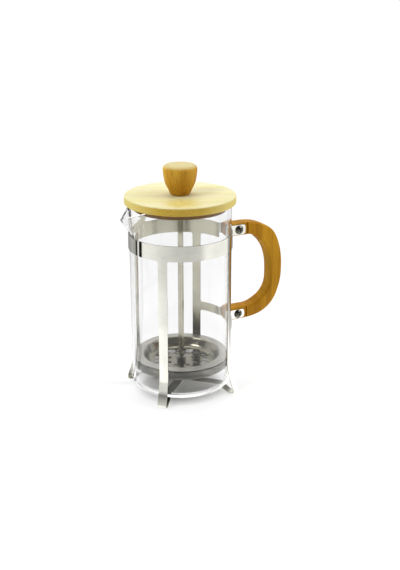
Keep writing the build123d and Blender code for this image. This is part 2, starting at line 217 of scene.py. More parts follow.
# ---- materials --------------------------------------------------------------------------
class Nodes:
    """A short way to write a node tree: each call adds one node and links its inputs."""

    def __init__(self, name):
        self.material = bpy.data.materials.new(name)
        self.material.use_nodes = True
        self.tree = self.material.node_tree
        self.tree.nodes.clear()
        self.output = self.tree.nodes.new("ShaderNodeOutputMaterial")

    def add(self, kind, inputs=None, **settings):
        """Adds a node; an input is either another node's socket or a value."""
        node = self.tree.nodes.new("ShaderNode" + kind)
        for key, value in settings.items():
            setattr(node, key, value)
        for key, value in (inputs or {}).items():
            socket = node.inputs[key]
            if isinstance(value, bpy.types.NodeSocket):
                self.tree.links.new(value, socket)
            else:
                socket.default_value = value
        return node

    def math(self, operation, a, b=0.0, c=0.0):
        return self.add("Math", {0: a, 1: b, 2: c}, operation=operation).outputs[0]

    def ramp(self, factor, stops):
        """A colour ramp with (place, colour) stops."""
        node = self.add("ValToRGB", {0: factor})
        elements = node.color_ramp.elements
        for i, (place, colour) in enumerate(stops):
            element = elements[i] if i < 2 else elements.new(place)
            element.position = place
            element.color = (*colour, 1)
        return node.outputs[0]

    def mix(self, factor, a, b, blend="MIX"):
        node = self.add("Mix", data_type="RGBA", blend_type=blend)
        for socket, value in ((node.inputs[0], factor), (node.inputs[6], a), (node.inputs[7], b)):
            if isinstance(value, bpy.types.NodeSocket):
                self.tree.links.new(value, socket)
            elif isinstance(value, tuple) and len(value) == 3:
                socket.default_value = (*value, 1)
            else:
                socket.default_value = value
        return node.outputs[2]

    def noise(self, vector, scale, detail=3.0, roughness=0.5):
        inputs = {"Vector": vector, "Scale": scale, "Detail": detail, "Roughness": roughness}
        return self.add("TexNoise", inputs).outputs[0]

    def place(self, turn=(0, 0, 0), scale=(1, 1, 1)):
        """Object coordinates, turned, then scaled, so that local X can run along a grain."""
        source = self.add("TexCoord").outputs["Object"]
        turned = self.add("Mapping", {"Vector": source, "Rotation": turn}).outputs[0]
        return self.add("Mapping", {"Vector": turned, "Scale": scale}).outputs[0]

    def bump(self, height, strength, distance):
        inputs = {"Height": height, "Strength": strength, "Distance": distance}
        return self.add("Bump", inputs).outputs[0]

    def surface(self, inputs):
        shader = self.add("BsdfPrincipled", inputs)
        self.tree.links.new(shader.outputs[0], self.output.inputs[0])
        return self.material


BLACK, WHITE = (0, 0, 0), (1, 1, 1)


def grey(level):
    """A neutral colour."""
    return (level, level, level)


def colour(hex_code):
    """An sRGB hex colour as linear values."""
    values = [int(hex_code[i : i + 2], 16) / 255 for i in (0, 2, 4)]
    return tuple(v / 12.92 if v < 0.04045 else ((v + 0.055) / 1.055) ** 2.4 for v in values)


def tinted(tone, factors):
    """A colour multiplied by another."""
    return tuple(a * b for a, b in zip(tone, factors))


def glued_strips(n, grain, base, dark, width, tint):
    """Strips side by side along local Y, some of them tinted, with dark seams between them."""
    across = n.math("DIVIDE", n.add("SeparateXYZ", {0: grain}).outputs[1], width)
    chance = n.add("TexWhiteNoise", {"W": n.math("FLOOR", across)}, noise_dimensions="1D").outputs[0]
    base = n.mix(0.8, base, n.ramp(chance, [(0.0, tint), (1.0, WHITE)]), "MULTIPLY")
    seam = n.math("ABSOLUTE", n.math("SUBTRACT", n.math("FRACT", across), 0.5))
    return n.mix(n.ramp(seam, [(0.475, BLACK), (0.5, grey(0.5))]), base, dark)


def knotted(n, grain, turn, base, pale, dark, knot):
    """A golden, ragged, speckled knot round one place."""
    apart = n.add("VectorMath", {0: grain, 1: knot}, operation="SUBTRACT").outputs[0]
    squeezed = n.add("VectorMath", {0: apart, 1: (0.85, 0.9, 1)}, operation="MULTIPLY").outputs[0]
    reach = n.add("VectorMath", {0: squeezed}, operation="LENGTH").outputs["Value"]
    ragged = n.math("MULTIPLY_ADD", n.noise(grain, 260, 4, 0.7), 0.016, reach)
    blotch = n.noise(grain, 420, 4, 0.7)
    dashes = n.noise(n.place(turn=turn, scale=(1, 0.25, 1)), 1300, 4, 0.7)
    light_gold, dark_gold = tinted(pale, (0.86, 0.75, 0.32)), tinted(pale, (0.62, 0.43, 0.12))
    gold = n.ramp(blotch, [(0.38, light_gold), (0.66, dark_gold)])
    gold = n.mix(n.ramp(dashes, [(0.56, BLACK), (0.66, grey(0.6))]), gold, tinted(dark, (0.62, 0.52, 0.4)))
    return n.mix(n.ramp(ragged, [(0.013, grey(0.9)), (0.024, BLACK)]), base, gold)


def cut_sides(n, facing, up, turn, specks, base, side):
    """The edge of a flat board: one pair of tones along the grain, another at its cut ends."""
    turned = n.add("Mapping", {"Vector": facing, "Rotation": turn}).outputs[0]
    end = n.math("ABSOLUTE", n.add("SeparateXYZ", {0: turned}).outputs[0])
    edge = n.ramp(specks, [(0.38, side[0]), (0.66, side[1])])
    ends = n.ramp(specks, [(0.38, side[2]), (0.66, side[3])])
    tone = n.mix(n.ramp(end, [(0.35, BLACK), (0.85, WHITE)]), edge, ends)
    level = n.math("SUBTRACT", 1.0, up)
    return n.mix(n.ramp(level, [(0.25, BLACK), (0.8, WHITE)]), base, tone)


def bamboo(name, tones, turn, strip=None, side=None, top=None, knot=None, fade=None):
    """Bamboo with its grain along local X. tones: pale, middle and dark.

    strip: the width, in metres, and the tint of its glued strips, if they show.
    side: the (light, dark) tones of a flat board's edge along the grain, then of its cut ends.
    top: the tone of a face that looks up, painted light from above. knob: the place, in metres in the grain's
    own axes, of a knot.
    fade: (height, height, tone) darkens towards the first height."""
    pale, middle, dark = tones
    n = Nodes(name)
    grain = n.place(turn=turn)
    along = n.place(turn=turn, scale=(0.03, 1, 1))
    broad = n.noise(n.place(turn=turn, scale=(0.1, 1, 1)), 70, 2)
    fine = n.noise(along, 1100, 4, 0.65)
    threads = n.noise(along, 2600, 2, 0.6)
    specks = n.noise(n.place(turn=turn, scale=(0.6, 1, 1)), 2300, 3, 0.6)
    facing = n.add("TexCoord").outputs["Normal"]
    up = n.add("SeparateXYZ", {0: facing}).outputs[2]
    base = n.ramp(broad, [(0.32, middle), (0.68, pale)])
    base = n.mix(0.3, base, n.ramp(fine, [(0.44, WHITE), (0.62, dark)]), "MULTIPLY")
    if strip:
        base = glued_strips(n, grain, base, dark, *strip)
    base = n.mix(0.2, base, n.ramp(threads, [(0.60, WHITE), (0.72, dark)]), "MULTIPLY")
    if knot:
        base = knotted(n, grain, turn, base, pale, dark, knot)
    if side:
        base = cut_sides(n, facing, up, turn, specks, base, side)
    # Painted shade: the colour darkens towards the lower height.
    if fade:
        height = n.add("SeparateXYZ", {0: n.place()}).outputs[2]
        share = n.add("MapRange", {0: height, 1: fade[0], 2: fade[1]}).outputs[0]
        base = n.mix(1.0, base, n.ramp(share, [(0.0, fade[2]), (1.0, WHITE)]), "MULTIPLY")
    # Painted light: faces that look up take the paler top tone.
    if top:
        cap = n.mix(n.ramp(specks, [(0.5, BLACK), (0.7, grey(0.3))]), top, pale)
        base = n.mix(n.ramp(up, [(0.15, BLACK), (0.6, grey(0.3)), (0.98, WHITE)]), base, cap)
    rough = n.add("MapRange", {0: fine, 1: 0.3, 2: 0.7, 3: 0.42, 4: 0.58}).outputs[0]
    return n.surface({
        "Base Color": base,
        "Roughness": rough,
        "Specular IOR Level": 0.06,
        "Normal": n.bump(fine, 0.12, 0.0002),
    })


def steel(name, tone, rough, spread=0.05, brush=(1, 1, 1), bump=0.02, edge=1.0, shade=None):
    """Stainless steel: faint rolling streaks, cloudy polish and slight wear in the gloss.

    edge: how bright the metal stays at a grazing angle. shade: gives a tint, and a roughness to add, that
    differ from place to place."""
    n = Nodes(name)
    cloud = n.noise(n.place(), 60, 3)
    streak = n.noise(n.place(scale=brush), 900, 3, 0.6)
    lighter = tuple(min(1, c * 1.06) for c in tone)
    darker = tuple(c * 0.9 for c in tone)
    base = n.ramp(n.math("MULTIPLY_ADD", cloud, 0.6, n.math("MULTIPLY", streak, 0.4)),
                  [(0.35, darker), (0.65, lighter)])
    gloss = n.add("MapRange", {0: streak, 1: 0.3, 2: 0.7, 3: rough - spread, 4: rough + spread}).outputs[0]
    # The shade's tint is painted shade.
    if shade:
        tint, dull = shade(n)
        base = n.mix(1.0, base, tint, "MULTIPLY")
        gloss = n.math("ADD", gloss, dull)
    return n.surface({
        "Base Color": base,
        "Metallic": 1.0,
        "Roughness": gloss,
        "Specular Tint": (edge, edge, edge, 1),
        "Normal": n.bump(streak, bump, 0.0001),
    })


def cage_shade(n):
    """Painted shade and reflection on the cage: darker inside, the more so lower down, and dark along its cut
    edges, its top edge and under the glass. Inside it is also rougher.
    """
    source = n.add("TexCoord")
    flat = n.add("VectorMath", {0: source.outputs["Object"], 1: (1, 1, 0)}, operation="MULTIPLY").outputs[0]
    away = n.add("VectorMath", {0: flat}, operation="LENGTH").outputs["Value"]
    facing = source.outputs["Normal"]
    outward = n.add("VectorMath", {0: facing, 1: flat}, operation="DOT_PRODUCT").outputs["Value"]
    height = n.add("SeparateXYZ", {0: source.outputs["Object"]}).outputs[2]
    up = n.add("SeparateXYZ", {0: facing}).outputs[2]
    radial = n.math("ABSOLUTE", n.math("DIVIDE", outward, away))
    outer = n.add("MapRange", {0: outward, 1: -0.02, 2: 0.0}).outputs[0]
    raised = n.add("MapRange", {0: height, 1: 0.03, 2: 0.085}).outputs[0]
    # Painted reflection: inside the cage the tint darkens towards the bottom, where the dark filter is
    # mirrored.
    inner = n.ramp(raised, [(0.0, (0.5, 0.49, 0.42)), (0.45, (0.84, 0.82, 0.72)), (1.0, (1, 0.98, 0.87))])
    tone = n.mix(outer, inner, (0.914, 0.915, 0.914))
    # Painted shade: dark outlines along the cut edges of the band and legs.
    upright = n.math("LESS_THAN", n.math("ABSOLUTE", up), 0.6)
    cut = n.math("MULTIPLY", n.math("LESS_THAN", radial, 0.35), upright)
    on_wall = n.math("LESS_THAN", away, (CAGE_R + 0.5) * MM)
    on_foot = n.math("LESS_THAN", height, (BASE_TOP + 20) * MM)
    cut = n.math("MULTIPLY", cut, n.math("MAXIMUM", on_wall, on_foot))
    tone = n.mix(cut, tone, (0.42, 0.41, 0.37))
    # Painted shade along the band's top edge.
    rim = n.math("MULTIPLY", n.math("GREATER_THAN", up, 0.8), n.math("GREATER_THAN", height, 0.12))
    tone = n.mix(rim, tone, (0.2, 0.2, 0.19))
    # Painted shade on the base strips under the glass.
    base_top = BASE_TOP * MM
    low = n.add("MapRange", {0: height, 1: base_top + 0.0005, 2: base_top + 0.002, 3: 1.0, 4: 0.0}).outputs[0]
    under = n.add("MapRange", {0: away, 1: 0.0415, 2: 0.045, 3: 1.0, 4: 0.0}).outputs[0]
    tone = n.mix(n.math("MULTIPLY", low, under), tone, (0.22, 0.215, 0.19))
    return tone, n.math("MULTIPLY_ADD", outer, -0.16, 0.16)


def plate_shade(n):
    """The pressure plate's flat rim is satin and lighter than its pressed dish, whose darker tint is painted
    shade.
    """
    spot = n.add("TexCoord").outputs["Object"]
    flat = n.add("VectorMath", {0: spot, 1: (1, 1, 0)}, operation="MULTIPLY").outputs[0]
    away = n.add("VectorMath", {0: flat}, operation="LENGTH").outputs["Value"]
    rim = PLATE_R * MM
    share = n.add("MapRange", {0: away, 1: rim * 0.8, 2: rim * 0.86}).outputs[0]
    speck = n.noise(spot, 2600, 2)
    satin = n.ramp(speck, [(0.35, (0.82, 0.82, 0.83)), (0.65, WHITE)])
    # The dish's darker tint is painted shade.
    return n.mix(share, (0.52, 0.51, 0.44), satin), n.math("MULTIPLY", share, 0.22)


GLASS_BOUNCES = 5.5     # light that has turned more often than this leaves the glass unbent


def clear_glass(name):
    """Borosilicate glass. Lamps shine through it, so that what it holds is lit."""
    n = Nodes(name)
    smear = n.noise(n.place(), 35, 4)
    gloss = n.add("MapRange", {0: smear, 1: 0.35, 2: 0.75, 3: 0.0, 4: 0.02}).outputs[0]
    shader = n.add("BsdfPrincipled", {
        "Base Color": (0.935, 0.935, 0.94, 1),
        "Roughness": gloss,
        "IOR": 1.47,
        "Specular Tint": (0.5, 0.5, 0.5, 1),
        "Transmission Weight": 1.0,
    })
    open_way = n.add("BsdfTransparent", {0: (0.9, 0.9, 0.89, 1)})
    path = n.add("LightPath")
    trapped = n.math("GREATER_THAN", path.outputs["Ray Depth"], GLASS_BOUNCES)
    straight = n.math("MAXIMUM", path.outputs["Is Shadow Ray"], trapped)
    both = n.add("MixShader", {0: straight, 1: shader.outputs[0], 2: open_way.outputs[0]})
    n.tree.links.new(both.outputs[0], n.output.inputs[0])
    return n.material


LID_GRAIN = (0, 0, -VIEW_AZIMUTH)                   # the lid's grain runs across the view
UPRIGHT_GRAIN = (math.pi / 2, 0, math.pi / 2)       # grain along Z, strips side by side along X
# The knot's dark gold in front of the knob is partly real grain and partly painted shade of the knob.
LID_KNOT = (0.002, -0.030, LID_HIGH.z * MM)         # in front of the knob
BOARD_STRIP, HANDLE_STRIP = 0.011, 0.0056           # widths of the glued strips

MATERIALS = {
    "glass": clear_glass("glass_clear"),
    "cage": steel("steel_polished", (0.70, 0.691, 0.629), 0.08, 0.03, (0.2, 0.2, 6), 0.006, shade=cage_shade),
    "rod": steel("steel_rod", (0.55, 0.527, 0.42), 0.14, 0.05, (1, 1, 8), edge=0.15),
    "filter": steel("steel_satin", (0.30, 0.295, 0.25), 0.3, 0.08, bump=0.008),
    "dish": steel("steel_stamped", (0.48, 0.47, 0.42), 0.16, 0.05, bump=0.003, shade=plate_shade),
    "wire": steel("steel_wire", (0.22, 0.215, 0.185), 0.34, 0.08),
    # The spring is near black: painted shade in the gap between plate and wire cloth.
    "spring": steel("steel_spring_painted_shade", (0.10, 0.097, 0.086), 0.14, 0.04),
    "fastener": steel("steel_fastener", (0.30, 0.30, 0.27), 0.12, 0.05),
    # The screws and cap nuts are near black: a painted dark reflection in their heads.
    "screw": steel("steel_screw_painted_reflection", (0.11, 0.108, 0.09), 0.1, 0.04),
    "brass": steel("brass_turned", colour("c9a45a"), 0.25, 0.06, (1, 1, 8)),
    "lid": bamboo(
        "bamboo_lid", [(0.768, 0.738, 0.515), (0.735, 0.694, 0.376), (0.58, 0.45, 0.16)], LID_GRAIN,
        (BOARD_STRIP, (0.92, 0.9, 0.84)), knot=LID_KNOT,
        side=[colour(c) for c in ("cdae4a", "a6862f", "dccb7c", "c2ae5c")]),
    # The step's bamboo is coloured much darker than the board's: painted shade under the lid.
    "plug": bamboo(
        "bamboo_plug_painted_shade", [colour(c) for c in ("8e6408", "724a06", "3c2402")], LID_GRAIN,
        (BOARD_STRIP, (0.86, 0.79, 0.66))),
    # The knob is paler on top and darker towards its foot: painted light and shade.
    "knob": bamboo(
        "bamboo_knob", [colour(c) for c in ("dcb444", "c08c28", "6e3a08")], UPRIGHT_GRAIN,
        top=colour("c6ba88"), fade=(KNOB_LOW.z * MM, (KNOB_HIGH.z - 2) * MM, (0.72, 0.56, 0.36))),
    "handle": bamboo(
        "bamboo_handle", [colour(c) for c in ("ce9a1e", "b47e12", "845208")], UPRIGHT_GRAIN,
        (HANDLE_STRIP, (0.76, 0.66, 0.46))),
}


# ---- glass ------------------------------------------------------------------------------
SPOUT_TIP_Z = 153.4
SPOUT_HALF = math.radians(27)
SPOUT_FOOT_Z = BAND_HIGH + 0.4
SPOUT_WALL = 1.4
SPOUT_BLEND = 1.0           # how softly the spout's facets run into the round wall
GLASS_CORNER = 5.0
GLASS_FLOOR = 3.0
GLASS_COLUMNS, GLASS_ROWS = 320, 46
CORNER_STEPS = LIP_STEPS = 8


def facet():
    """The spout's +Y facet: its outward normal and offset, its corner at the rim, its lip's slope."""
    tip = Vector((GLASS_LOW.x, 0, SPOUT_TIP_Z))
    foot = Vector((-GLASS_R, 0, SPOUT_FOOT_Z))
    rim = Vector((-GLASS_R * math.cos(SPOUT_HALF), GLASS_R * math.sin(SPOUT_HALF), GLASS_HIGH.z))
    normal = (foot - tip).cross(rim - tip).normalized()
    if normal.y < 0:
        normal = -normal
    slope = (rim.z - tip.z) / (rim.x - tip.x)
    return normal, normal.dot(tip), rim, slope


def soft_max(a, b, blend):
    """The larger of two values, rounded over where they are close."""
    h = max(blend - abs(a - b), 0) / blend
    return max(a, b) + h * h * blend / 4


def wall_radius(face, angle, z, inside_face):
    """The wall's radius at an angle from the spout: round, or out to the spout's facet."""
    normal, offset = face[:2]
    round_r = GLASS_R - (GLASS_WALL if inside_face else 0)
    if abs(angle) > math.atan2(normal.y, -normal.x):
        return round_r
    across = -normal.x * math.cos(angle) + normal.y * abs(math.sin(angle))
    flat = (offset - (SPOUT_WALL if inside_face else 0) - normal.z * z) / across
    return soft_max(round_r, flat, SPOUT_BLEND)


def rim_height(face, angle):
    """The rim is level, except that the spout's lip slopes down to its tip."""
    rim, slope = face[2:]
    top = GLASS_HIGH.z
    if abs(angle) >= SPOUT_HALF * 1.1:
        return top
    for _ in range(6):
        x = -wall_radius(face, angle, top, False) * math.cos(angle)
        top = min(GLASS_HIGH.z, GLASS_HIGH.z - slope * (rim.x - x))
    return top


def glass_corner(centre_r, centre_z, radius):
    """A quarter circle from the glass's floor out to its wall."""
    angles = [math.pi / 2 * k / CORNER_STEPS for k in range(CORNER_STEPS + 1)]
    return [(centre_r + radius * math.sin(a), centre_z - radius * math.cos(a)) for a in angles]


def beaker_profile(face, angle):
    """The glass's section at an angle: out under the floor, up, over the rim, and down the inside."""
    inner_r = GLASS_R - GLASS_WALL
    inner_corner = GLASS_CORNER - GLASS_WALL / 2
    floor_in = GLASS_LOW.z + GLASS_FLOOR
    start = GLASS_LOW.z + GLASS_CORNER
    lip = GLASS_WALL / 2 - 0.05
    neck = rim_height(face, angle) - lip
    heights = [start + (neck - start) * (k / GLASS_ROWS) ** 0.7 for k in range(1, GLASS_ROWS + 1)]
    line = [(0, GLASS_LOW.z), (GLASS_R * 0.55, GLASS_LOW.z)]
    line += glass_corner(GLASS_R - GLASS_CORNER, start, GLASS_CORNER)
    line += [(wall_radius(face, angle, z, False), z) for z in heights]
    outer, inner = wall_radius(face, angle, neck, False), wall_radius(face, angle, neck, True)
    middle, reach = (outer + inner) / 2, (outer - inner) / 2
    for k in range(1, LIP_STEPS):
        a = math.pi * k / LIP_STEPS
        line.append((middle + reach * math.cos(a), neck + lip * math.sin(a)))
    line += [(wall_radius(face, angle, z, True), z) for z in heights[::-1]]
    line += glass_corner(inner_r - inner_corner, floor_in + inner_corner, inner_corner)[::-1]
    return line + [(inner_r * 0.55, floor_in), (0, floor_in)]


def beaker():
    """The glass, a section at each of its columns joined into one skin."""
    face = facet()
    angles = [TURN * c / GLASS_COLUMNS - math.pi for c in range(GLASS_COLUMNS)]
    profiles = [beaker_profile(face, angle) for angle in angles]
    verts, rows = [], []
    for ring in zip(*profiles):
        row = []
        for angle, (r, z) in zip(angles, ring):
            if r < 1e-6 and row:
                row.append(row[0])
                continue
            row.append(len(verts))
            verts.append((-r * math.cos(angle), r * math.sin(angle), z))
        rows.append(row)
    faces = join_rows(rows, wrap=True)
    return piece("beaker_glass", verts, faces, MATERIALS["glass"], "glass", ["beaker"], 60)


# ---- cage -------------------------------------------------------------------------------
EAR_END = 56.8
EAR_FACE = HANDLE_HIGH.y                # the ears lie flush with the handle's cheeks
EAR_BEND = 1.0
UPPER_EAR = (128.7, 137.3)
LOWER_EAR = (54.4, 62.0)
WEB_R = 2.0
FLARE_TOP = 27.0
FOOT_TOE_R, FOOT_HEEL_R, RISE_END_R = 49.0, 43.2, 36.0
EAR_ANGLE = math.asin((EAR_FACE + EAR_BEND) / (CAGE_R + EAR_BEND))
BEND_LENGTH = EAR_BEND * (math.pi / 2 - EAR_ANGLE)
ROUND_LENGTH = CAGE_R * TURN
EAR_START = CAGE_R * EAR_ANGLE - BEND_LENGTH
EAR_LENGTH = EAR_END - (CAGE_R + EAR_BEND) * math.cos(EAR_ANGLE)
LEGS = [ROUND_LENGTH * (2 * i + 1) / 8 for i in range(4)]
LEG_COLUMNS = 8


def rolled(s, z):
    """Where a point of the flat stamping goes once it is rolled round the glass."""
    if s > ROUND_LENGTH / 2:
        x, y, z = rolled(ROUND_LENGTH - s, z)
        return x, -y, z
    if s >= CAGE_R * EAR_ANGLE:
        return CAGE_R * math.cos(s / CAGE_R), CAGE_R * math.sin(s / CAGE_R), z
    centre_x = (CAGE_R + EAR_BEND) * math.cos(EAR_ANGLE)
    if s >= EAR_START:
        a = EAR_ANGLE + (CAGE_R * EAR_ANGLE - s) / EAR_BEND
        return centre_x - EAR_BEND * math.cos(a), EAR_FACE + EAR_BEND - EAR_BEND * math.sin(a), z
    return centre_x + EAR_START - s, EAR_FACE, z


def stamping_outline():
    """The flat outline of band, legs, lower arms and ears, as (along, up) points."""
    ear, other = EAR_START - EAR_LENGTH, ROUND_LENGTH - EAR_START + EAR_LENGTH
    fold, far_fold = CAGE_R * EAR_ANGLE, ROUND_LENGTH - CAGE_R * EAR_ANGLE
    half = LEG_WIDTH / 2
    points = [
        (ear, UPPER_EAR[1], 2.4), (fold, UPPER_EAR[1], 0.3), (fold + 2, BAND_HIGH, 0.3),
        (far_fold - 2, BAND_HIGH, 0.3), (far_fold, UPPER_EAR[1], 0.3), (other, UPPER_EAR[1], 2.4),
        (other, UPPER_EAR[0], 2.4), (far_fold - 0.6, UPPER_EAR[0], 0.8), (far_fold - 0.6, BAND_LOW, 0.8),
    ]
    for leg in LEGS[::-1]:
        points += [(leg + half, BAND_LOW, WEB_R)]
        if leg == LEGS[-1]:
            points += [
                (leg + half, LOWER_EAR[1], WEB_R), (other, LOWER_EAR[1], 2.4),
                (other, LOWER_EAR[0], 2.4), (leg + half, LOWER_EAR[0], WEB_R),
            ]
        points += [(leg + half, FLARE_TOP, 0), (leg - half, FLARE_TOP, 0)]
        if leg == LEGS[0]:
            points += [
                (leg - half, LOWER_EAR[0], WEB_R), (ear, LOWER_EAR[0], 2.4),
                (ear, LOWER_EAR[1], 2.4), (leg - half, LOWER_EAR[1], WEB_R),
            ]
        points += [(leg - half, BAND_LOW, WEB_R)]
    points += [(fold + 0.6, BAND_LOW, 0.8), (fold + 0.6, UPPER_EAR[0], 0.8), (ear, UPPER_EAR[0], 2.4)]
    return rounded([p[:2] for p in points], [p[2] for p in points], 6, closed=True)


def inside(outline, x, y):
    """True if a point lies inside a closed outline."""
    crossings = 0
    for (x0, y0), (x1, y1) in zip(outline, outline[1:] + outline[:1]):
        if (y0 > y) != (y1 > y) and x < x0 + (x1 - x0) * (y - y0) / (y1 - y0):
            crossings += 1
    return crossings % 2 == 1


def sheet_columns():
    """Where the stamping is divided so that it rolls and bends smoothly."""
    columns = []
    edges = [CAGE_R * EAR_ANGLE]
    for leg in LEGS:
        start = leg - LEG_WIDTH / 2
        gap = start - edges[-1]
        steps = round(gap / 1.6)
        columns += [edges[-1] + gap * k / steps for k in range(steps)]
        columns += [start + LEG_WIDTH * k / LEG_COLUMNS for k in range(LEG_COLUMNS)]
        edges.append(start + LEG_WIDTH)
    gap = ROUND_LENGTH - edges[0] - edges[-1]
    steps = round(gap / 1.6)
    columns += [edges[-1] + gap * k / steps for k in range(steps + 1)]
    bends = [EAR_START + BEND_LENGTH * k / 6 for k in range(6)]
    return bends + columns + [ROUND_LENGTH - b for b in bends]


def rolled_sheet():
    """The outer skin of the stamping above the feet, cut into columns and rolled."""
    outline = stamping_outline()
    points = [Vector(p) for p in outline]
    edges = [(i, (i + 1) % len(points)) for i in range(len(points))]
    for s in sheet_columns():
        points += [Vector((s, FLARE_TOP - 4)), Vector((s, UPPER_EAR[1] + 4))]
        edges.append((len(points) - 2, len(points) - 1))
    flat, _, triangles, _, _, _ = delaunay_2d_cdt(points, edges, [], 0, 1e-4)
    kept = []
    for t in triangles:
        x = sum(flat[i].x for i in t) / len(t)
        y = sum(flat[i].y for i in t) / len(t)
        if inside(outline, x, y):
            kept.append(list(t))
    return [rolled(p.x, p.y) for p in flat], kept


def foot_path():
    """Radius and height along the outer skin of a leg, from the flare down and in to the centre."""
    knee = (CAGE_R + (FOOT_TOE_R - CAGE_R) * 0.37, FLARE_TOP * 0.46)
    points = [
        (CAGE_R, FLARE_TOP), (CAGE_R, FLARE_TOP - 4), knee, (FOOT_TOE_R, 0),
        (FOOT_HEEL_R, 0), (RISE_END_R, BASE_TOP - SHEET), (LEG_WIDTH / 2, BASE_TOP - SHEET),
    ]
    return rounded(points, [0, 30, 50, 1.9, 3, 3, 0], 8)


def foot_sheet(turn):
    """The outer skin of one flared leg, its foot and the strip under the glass."""
    path = foot_path()
    verts, rows = [], []
    for i, (r, z) in enumerate(path):
        share = max(0.0, 1 - (FLARE_TOP - z) / 8) if i < len(path) // 2 else 0.0
        row = []
        for k in range(LEG_COLUMNS + 1):
            across = LEG_WIDTH * (k / LEG_COLUMNS - 0.5)
            sag = CAGE_R * (1 - math.cos(across / CAGE_R)) * share
            side = across * (1 - share) + CAGE_R * math.sin(across / CAGE_R) * share
            point = Matrix.Rotation(turn, 3, "Z") @ Vector((r - sag, side, z))
            row.append(len(verts))
            verts.append(tuple(point))
        rows.append(row)
    return verts, join_rows(rows, wrap=False)


def base_centre():
    """The square where the four strips are joined under the middle of the glass."""
    rows, verts = [], []
    for i in range(LEG_COLUMNS + 1):
        row = []
        for k in range(LEG_COLUMNS + 1):
            x = LEG_WIDTH * (i / LEG_COLUMNS - 0.5)
            y = LEG_WIDTH * (k / LEG_COLUMNS - 0.5)
            point = Matrix.Rotation(math.pi / 4, 3, "Z") @ Vector((x, y, BASE_TOP - SHEET))
            row.append(len(verts))
            verts.append(tuple(point))
        rows.append(row)
    return verts, join_rows(rows, wrap=False)


def thicken(thing, thickness, edge):
    """Gives an outer skin its sheet thickness and softly broken edges."""
    solid = thing.modifiers.new("thickness", "SOLIDIFY")
    solid.thickness = thickness
    solid.offset = -1
    bevel = thing.modifiers.new("edges", "BEVEL")
    bevel.width = edge
    bevel.segments = 2
    bevel.limit_method = "ANGLE"
    bevel.angle_limit = math.radians(50)
    bevel.harden_normals = True


def cage():
    """The cage: one skin of band, legs, arms, feet and base strips, given the sheet's thickness."""
    parts = [rolled_sheet(), base_centre()]
    parts += [foot_sheet(math.pi / 4 * (2 * i + 1)) for i in range(4)]
    verts, faces = merged(parts)
    mesh = bpy.data.meshes.new("cage_sheet")
    mesh.from_pydata([tuple(c * MM for c in v) for v in verts], [], faces)
    bm = bmesh.new()
    bm.from_mesh(mesh)
    bmesh.ops.remove_doubles(bm, verts=bm.verts, dist=0.02 * MM)
    loose = [v for v in bm.verts if not v.link_faces]
    bmesh.ops.delete(bm, geom=loose, context="VERTS")
    bm.to_mesh(mesh)
    bm.free()
    thing = mesh_piece("cage_sheet", mesh, MATERIALS["cage"], "cage", ["cage"], 50)
    outward = sum(p.normal.dot(p.center.normalized()) for p in mesh.polygons if p.center.z > 0.12)
    if outward < 0:
        mesh.flip_normals()
    thicken(thing, SHEET * MM, 0.12 * MM)
    return thing


# ---- handle -----------------------------------------------------------------------------
TONGUE_START = HANDLE_LOW.x
REBATE_END = 58.6
GROOVE_END = REBATE_END + 1.2
GROOVE_DEPTH = 1.8
EDGE_R = 2.0


def evenly(points, count):
    """A polyline divided into equal steps."""
    points = [Vector(p) for p in points]
    lengths = [0.0]
    for a, b in zip(points, points[1:]):
        lengths.append(lengths[-1] + (b - a).length)
    out, j = [], 0
    for i in range(count):
        want = lengths[-1] * i / (count - 1)
        while j < len(points) - 2 and lengths[j + 1] < want:
            j += 1
        share = (want - lengths[j]) / max(lengths[j + 1] - lengths[j], 1e-9)
        out.append(points[j].lerp(points[j + 1], min(max(share, 0), 1)))
    return out


def relaxed(points, rounds):
    """A line of points with its ends kept and the rest eased into one smooth curve."""
    for _ in range(rounds):
        middle = [(a + 2 * b + c) / 4 for a, b, c in zip(points, points[1:], points[2:])]
        points = [points[0]] + middle + [points[-1]]
    return points


def handle_stations():
    """(inner point, outer point, half thickness, edge radius) along the handle, top to bottom."""
    top, bottom = HANDLE_HIGH.z, HANDLE_LOW.z
    gap_high, gap_low = 127.8, 63.8
    reach = HANDLE_HIGH.x
    start = TONGUE_START
    outer = rounded(
        [(GROOVE_END, top), (66, top), (85.4, 130.4), (reach, 108), (reach, 83),
         (87.1, 65.2), (76.5, 55.9), (63, bottom), (GROOVE_END, bottom)],
        [0, 30, 22, 60, 48, 27, 26, 26, 0], 10)
    inner = rounded(
        [(GROOVE_END, gap_high), (64.5, gap_high), (77, 116.6), (82.4, 101), (82.4, 79.5),
         (76.5, 70.2), (64.5, gap_low), (GROOVE_END, gap_low)],
        [0, 12, 31, 48, 18, 20, 18, 0], 10)
    full = HANDLE_HIGH.y
    thin = full - SHEET
    steps = [(start, thin, 0.9), (start + 5, thin, 0.9), (REBATE_END - 0.02, thin, 0.9),
             (REBATE_END, full - GROOVE_DEPTH, 0.4), (GROOVE_END - 0.02, full - GROOVE_DEPTH, 0.4)]
    stations = [((x, gap_high), (x, top), h, r) for x, h, r in steps]
    count = 120
    for a, b in zip(relaxed(evenly(inner, count), 14), relaxed(evenly(outer, count), 14)):
        stations.append((tuple(a), tuple(b), full, EDGE_R))
    stations += [((x, gap_low), (x, bottom), h, r) for x, h, r in steps[::-1]]
    return stations


